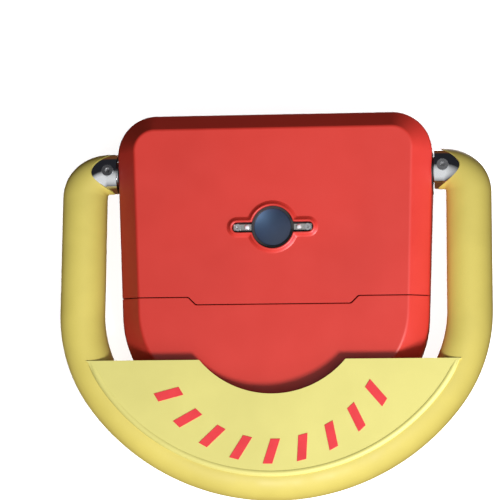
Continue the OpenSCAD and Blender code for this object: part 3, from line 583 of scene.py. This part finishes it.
def arm_path():
    """Middle line of the arm from the right elbow round to the left one.

    Each point is (x, y, outward x, outward y).
    """
    half = []
    turns = (
        ((ARM_X - ELBOW_R, -ELBOW_R), ELBOW_R, 90, 0, ELBOW_STEPS),
        ((SIDE_CX, -LEG_LEN), SIDE_R, 0, -SIDE_SWEEP, SIDE_STEPS),
        ((0, FRONT_CY), FRONT_R, -SIDE_SWEEP, -90, BOW_STEPS),
    )
    for c, r, a0, a1, n in turns:
        for i in range(n + 1):
            a = math.radians(a0 + (a1 - a0) * i / n)
            half.append((c[0] + r * math.cos(a), c[1] + r * math.sin(a), math.cos(a), math.sin(a)))
    return half + [(-x, y, -nx, ny) for x, y, nx, ny in reversed(half[:-1])]


def hoops(stations, sides, out=0, up=0):
    """Round sections square to the arm, moved outwards and up.

    Each station is (x, y, outward x, outward y, radius).
    """
    loops = []
    for x, y, nx, ny, r in stations:
        circle = [(out + r * math.cos(t), up + r * math.sin(t)) for t in full_turn(sides)]
        loops.append([(x + nx * c, y + ny * c, z) for c, z in circle])
    return loops


def from_end(k, path):
    """How many points lie between point k and the nearer end of the path."""
    return min(k, len(path) - 1 - k)


def bent_bar(name, r, end_x=None, end_r=None):
    """Round bar along the arm.

    With end_x it starts straight there, and with end_r it starts that thick and swells over the elbow.
    """
    path = arm_path()
    if end_x:
        path = [(end_x, 0, 0, 1), *path, (-end_x, 0, 0, 1)]
    stations = []
    for k, point in enumerate(path):
        grown = min(1, max(0, from_end(k, path) - 1) / SWELL_STEPS)
        rk = end_r + (r - end_r) * grown * grown * (3 - 2 * grown) if end_r else r
        stations.append((*point, rk))
    return rings(name, hoops(stations, ARM_SIDES))


def panel_plan():
    """Half-moon between the bow's middle line, a straight rear edge and a round cut-out."""
    bow = [(x, y) for x, y, _, _ in arm_path() if y < PANEL_EDGE_Y]
    side_y = PANEL_EDGE_Y - FRONT_CY
    reach = math.sqrt(FRONT_R**2 - side_y**2)
    half_cut = math.degrees(math.acos((PANEL_EDGE_Y - CUT_CY) / -CUT_R))
    cut = arc((0, CUT_CY), CUT_R, -90 - half_cut, -90 + half_cut, CUT_STEPS)
    return [(reach, PANEL_EDGE_Y), *bow, (-reach, PANEL_EDGE_Y), *cut]


def edge_bead():
    """Low rounded bead along the panel's curved edge, tapering away at both ends."""
    path = [p for p in arm_path() if p[1] < PANEL_EDGE_Y - 2]
    stations = []
    for k, point in enumerate(path):
        stations.append((*point, BEAD_R * min(1, BEAD_START + from_end(k, path) * BEAD_GROWTH)))
    return rings("bead", hoops(stations, BEAD_SIDES, BEAD_OUT, PANEL_TOP - BEAD_SINK))


def build_arm():
    sleeve = bent_bar("sleeve", SLEEVE_R, SLEEVE_END, TUBE_R + SLEEVE_END_WALL)
    combine(sleeve, bent_bar("bore", TUBE_R + 0.1, SLEEVE_END - 9), "DIFFERENCE")
    for s in (-1, 1):
        arch = [(s * (SLEEVE_TIP - SLEEVE_ARCH * y * y), y) for y in range(-SLEEVE_R, SLEEVE_R + 1, 2)]
        combine(sleeve, prism("arch", arch, -40, 40), "DIFFERENCE")
    soften(sleeve, SLEEVE_EDGE)
    panel = prism("panel", panel_plan(), PANEL_LOW, PANEL_TOP)
    combine(panel, bent_bar("seat", SLEEVE_R + 0.02), "DIFFERENCE")
    soften(panel, PANEL_EDGE)
    bead = edge_bead()
    for obj in (sleeve, panel, bead):
        obj.data.transform(scaled(ARM_FRAME))
    finish_piece(sleeve, "arm_foam", "arm", "yellow_foam", "arm_sleeve")
    finish_piece(panel, "arm_skin", "arm", "yellow_panel", "arm_panel")
    finish_piece(bead, "panel_bead", "arm", "yellow_panel")


def scaled(place):
    """The same placement for a mesh that is already in metres."""
    m = place.copy()
    m.translation = m.translation * MM
    return m


build_arm()

# ---- carried-over CAD nodes ----


def crisp(node):
    """Small rounded edges that catch the light, without changing the node's own mesh."""
    obj = frame["nodes"][node]
    weld = obj.modifiers.new("weld", "WELD")
    weld.merge_threshold = 1e-6
    edge = obj.modifiers.new("round", "BEVEL")
    edge.width, edge.segments, edge.limit_method = NODE_EDGE * MM, 2, "ANGLE"
    edge.angle_limit = math.radians(NODE_ROUND_FROM)
    flow = obj.modifiers.new("flow", "WEIGHTED_NORMAL")
    flow.keep_sharp = True


for node in frame["nodes"]:
    crisp(node)

# ---- stage ----

FLOOR_HALF, FLOOR_DROP = 9, 0.0005

# Kind, place in metres, power, size and colour of each lamp
LAMPS = {
    "key": ("AREA", (1.3, -1.62, 1.82), 80, 0.7, (1, 0.97, 0.95)),
    "side": ("AREA", (1.9, -1.7, 0.6), 24, 1.4, (0.62, 0.5, 1)),
    "over": ("AREA", (0.1, -1.6, 2.25), 68, 0.5, (1, 0.98, 0.94)),
    "low": ("AREA", (0.3, 2, -2.15), 22, 1.4, (1, 1, 1)),
    "paper": ("SUN", (0, 0, 3), 3, 0, (1, 1, 1)),
    "window_glow": ("AREA", (-0.6, 0.4, 1.3), 11, 0.6, (0.35, 0.62, 1)),
}
SKY_SIDE = (0.4, -0.6, 0.69)
SKY_DARK, SKY_BRIGHT, SKY_BELOW = (0.02, 0.02, 0.025), (0.85, 0.85, 0.85), (0.15, 0.055, 0.02)

CAMERA_AIM = (-0.0267, 0.0612, 0.04)
CAMERA_AZIMUTH, CAMERA_ELEVATION, CAMERA_ROLL = (math.radians(a) for a in (24, 74.4, 0.8))
CAMERA_DISTANCE, SENSOR, LENS = 2.488, 36, 168.2


def build_stage():
    """A pale floor that takes shadows but throws no light or shadow back."""
    bm = bmesh.new()
    bmesh.ops.create_grid(bm, x_segments=8, y_segments=8, size=FLOOR_HALF)
    mesh = bpy.data.meshes.new("ground")
    bm.to_mesh(mesh)
    bm.free()
    ground = bpy.data.objects.new("ground", mesh)
    bpy.context.scene.collection.objects.link(ground)
    ground.location.z = -FLOOR_DROP
    ground.visible_diffuse = ground.visible_glossy = ground.visible_shadow = False
    paper = surface("ground_paper", (0.9, 0.9, 0.9), 0.8, vary=0.01, patch=2, grain=300, grain_mm=0)
    mesh.materials.append(paper)
    return ground


def lamp(name):
    """A light that points at the middle of the floor under the object."""
    kind, place, power, size, color = LAMPS[name]
    data = bpy.data.lights.new(name, kind)
    data.energy, data.color = power, color
    if kind == "AREA":
        data.shape, data.size = "DISK", size
    obj = bpy.data.objects.new(name, data)
    bpy.context.scene.collection.objects.link(obj)
    obj.location = place
    obj.rotation_mode = "QUATERNION"
    obj.rotation_quaternion = (-Vector(place)).to_track_quat("-Z", "Y")
    return obj


def link_light(light, objs, state, shadows=True):
    """Lets a lamp light only these objects (INCLUDE) or all but these (EXCLUDE).

    Without shadows nothing else blocks its light.
    """
    linked = bpy.data.collections.new("lit_by_" + light.name)
    for obj in objs:
        linked.objects.link(obj)
    for entry in linked.collection_objects:
        entry.light_linking.link_state = state
    light.light_linking.receiver_collection = linked
    if not shadows:
        light.light_linking.blocker_collection = linked


def build_sky():
    """A soft bright patch of sky at the front right, dark elsewhere, and warm from below."""
    world = bpy.context.scene.world or bpy.data.worlds.new("sky")
    bpy.context.scene.world = world
    world.use_nodes = True
    nt = world.node_tree
    coord = nt.nodes.new("ShaderNodeTexCoord")
    split = nt.nodes.new("ShaderNodeSeparateXYZ")
    along = nt.nodes.new("ShaderNodeVectorMath")
    along.operation = "DOT_PRODUCT"
    along.inputs[1].default_value = SKY_SIDE
    nt.links.new(coord.outputs["Generated"], split.inputs["Vector"])
    nt.links.new(coord.outputs["Generated"], along.inputs[0])
    sky = mix(nt, spread(nt, along.outputs["Value"], 0.5, 0.85), SKY_DARK, SKY_BRIGHT)
    sky = mix(nt, spread(nt, split.outputs["Z"], -0.1, 0.05), SKY_BELOW, sky)
    nt.links.new(sky, nt.nodes["Background"].inputs["Color"])


def build_lamps(ground):
    """Soft key and a cool side lamp from the front right, and a low lamp for the back.

    The foam, the floor and the window have a lamp of their own.
    """
    foam, window = bpy.data.objects["arm_foam"], frame["nodes"]["sensor_window"]
    for name in ("key", "side"):
        link_light(lamp(name), (foam, window), "EXCLUDE")
    link_light(lamp("over"), (foam,), "INCLUDE")
    lamp("low")
    link_light(lamp("paper"), (ground,), "INCLUDE", shadows=False)
    link_light(lamp("window_glow"), (window,), "INCLUDE", shadows=False)


def build_camera():
    """Nearly overhead, from the front right, turned slightly."""
    cam = bpy.data.objects.new("camera", bpy.data.cameras.new("camera"))
    bpy.context.scene.collection.objects.link(cam)
    bpy.context.scene.camera = cam
    level = math.cos(CAMERA_ELEVATION)
    side, ahead = math.sin(CAMERA_AZIMUTH) * level, math.cos(CAMERA_AZIMUTH) * level
    back = Vector((side, -ahead, math.sin(CAMERA_ELEVATION)))
    cam.location = Vector(CAMERA_AIM) + back * CAMERA_DISTANCE
    right = Vector((0, 1, 0)).cross(back).normalized()
    turn = Matrix((right, back.cross(right), back)).transposed() @ Matrix.Rotation(CAMERA_ROLL, 3, "Z")
    cam.rotation_mode = "QUATERNION"
    cam.rotation_quaternion = turn.to_quaternion()
    cam.data.sensor_width, cam.data.lens = SENSOR, LENS
    cam.data.clip_start, cam.data.clip_end = 0.1, 50
    bpy.context.scene.view_settings.view_transform = "Standard"


build_sky()
build_lamps(build_stage())
build_camera()
